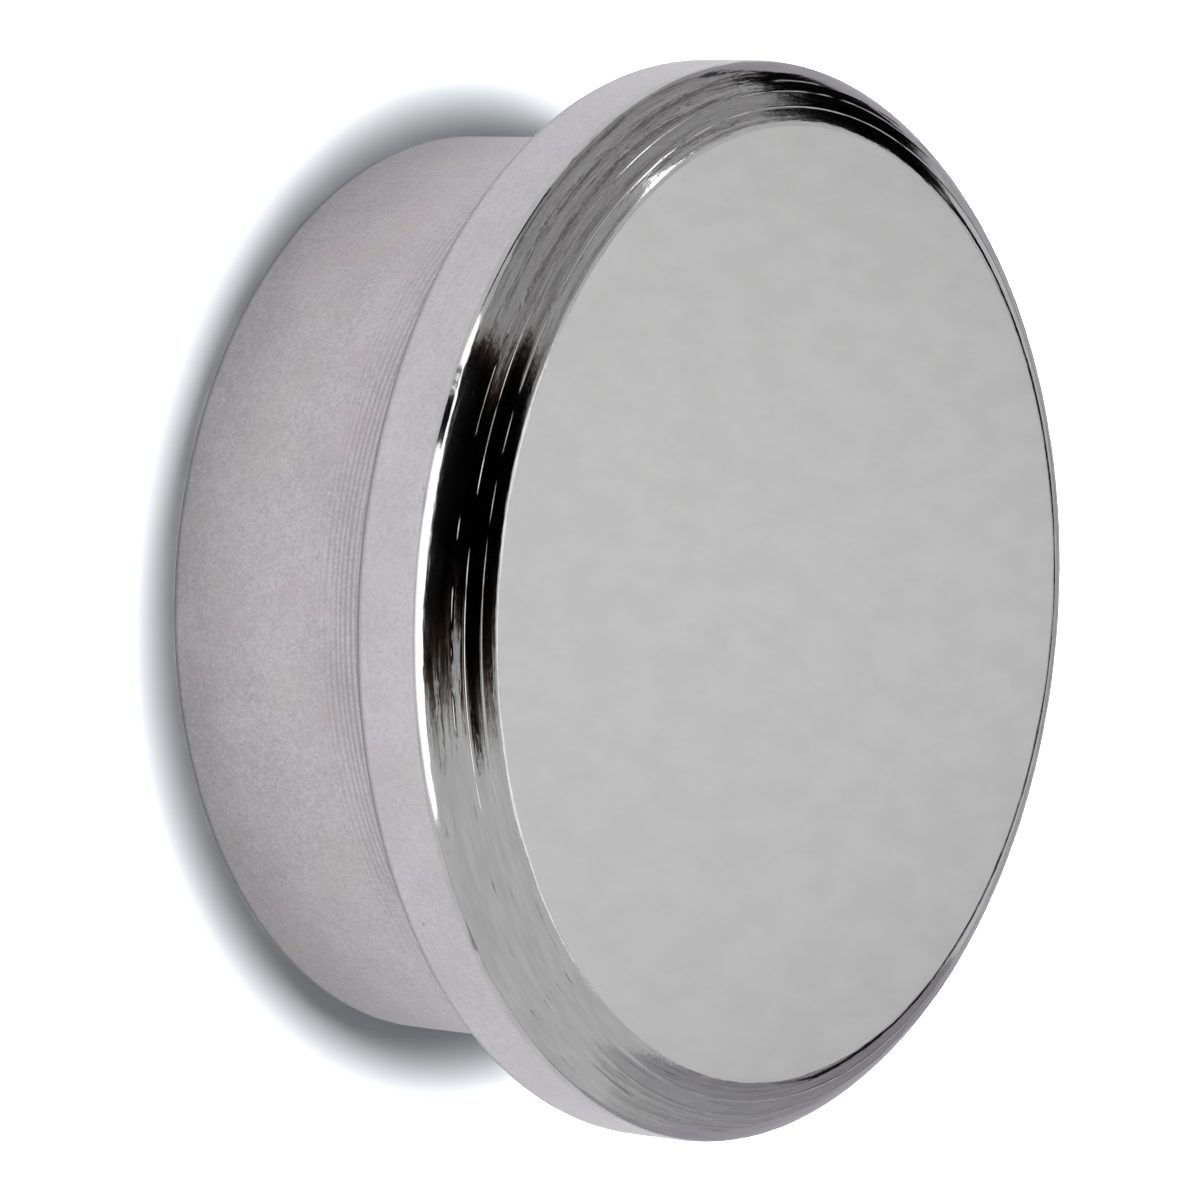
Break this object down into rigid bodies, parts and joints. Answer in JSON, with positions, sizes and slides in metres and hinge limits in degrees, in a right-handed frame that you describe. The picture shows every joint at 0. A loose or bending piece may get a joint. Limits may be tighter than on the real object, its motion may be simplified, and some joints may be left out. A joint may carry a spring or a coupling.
{
  "type": "pot magnet",
  "caption": "Small round pot magnet: a plated steel pot with a wider flat head to grip, holding by the magnet disc set in its back.",
  "frame": {"origin": "centre of the mounting face, the open end of the pot that the magnet holds with", "axes": "+Z along the turned axis, from the mounting face to the head's flat front face; the part stands on its mounting face"},
  "size_m": [0.022, 0.022, 0.0085],
  "materials": {
    "plated_steel": "bright plating over turned steel, satin on the flat and straight surfaces and glossy on the bevel",
    "magnet": "bright nickel plating, lightly scuffed",
    "resin": "dark cast resin with a slight meniscus"
  },
  "bodies": {
    "root": {"steel_body": "plated_steel", "magnet_disc": "magnet", "epoxy_fill": "resin"}
  },
  "joints": []
}
